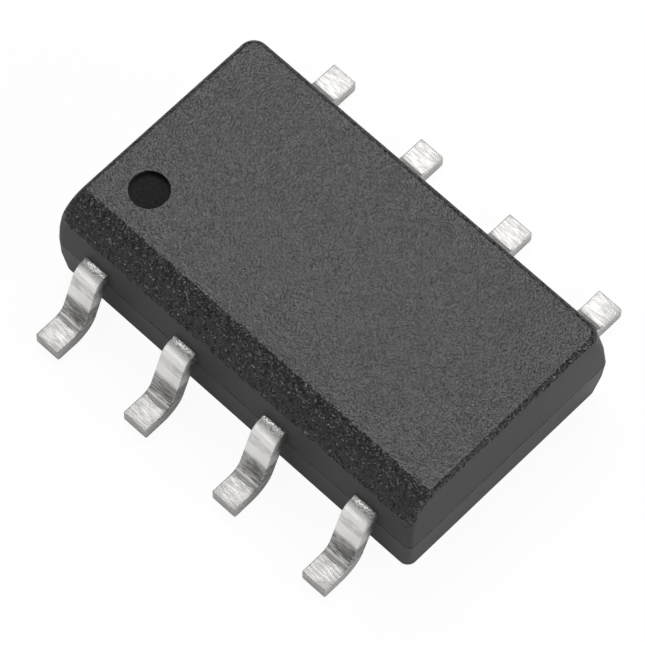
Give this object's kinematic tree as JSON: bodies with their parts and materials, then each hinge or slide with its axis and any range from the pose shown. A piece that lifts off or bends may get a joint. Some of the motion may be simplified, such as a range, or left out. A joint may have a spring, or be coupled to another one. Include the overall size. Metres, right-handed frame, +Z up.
{
  "type": "soic chip",
  "caption": "Small-outline integrated circuit: a black moulded body with a bevelled side, a round pin-1 recess and two rows of tinned gull-wing leads.",
  "frame": {"origin": "centre of the plane that the undersides of the feet stand on", "axes": "+X along the lead rows, from lead 1 to lead 4; +Y across the rows, away from the bevelled pin-1 side; +Z up"},
  "size_m": [0.005, 0.0044, 0.0014],
  "materials": {
    "epoxy": "moulded epoxy, fine spark-eroded grain",
    "lead_frame_copper": "stamped copper alloy",
    "silver_adhesive": "silver-filled epoxy",
    "silicon": "polished silicon",
    "tinned_lead": "matte tin plating on copper alloy",
    "bond_gold": "drawn gold wire"
  },
  "bodies": {
    "root": {"mold_body": "epoxy", "die_pad": "lead_frame_copper", "die_attach": "silver_adhesive", "die": "silicon", "lead_1": "tinned_lead", "lead_2": "tinned_lead", "lead_3": "tinned_lead", "lead_4": "tinned_lead", "lead_5": "tinned_lead", "lead_6": "tinned_lead", "lead_7": "tinned_lead", "lead_8": "tinned_lead", "bond_wire_1": "bond_gold", "bond_wire_2": "bond_gold", "bond_wire_3": "bond_gold", "bond_wire_4": "bond_gold", "bond_wire_5": "bond_gold", "bond_wire_6": "bond_gold", "bond_wire_7": "bond_gold", "bond_wire_8": "bond_gold"}
  },
  "joints": []
}
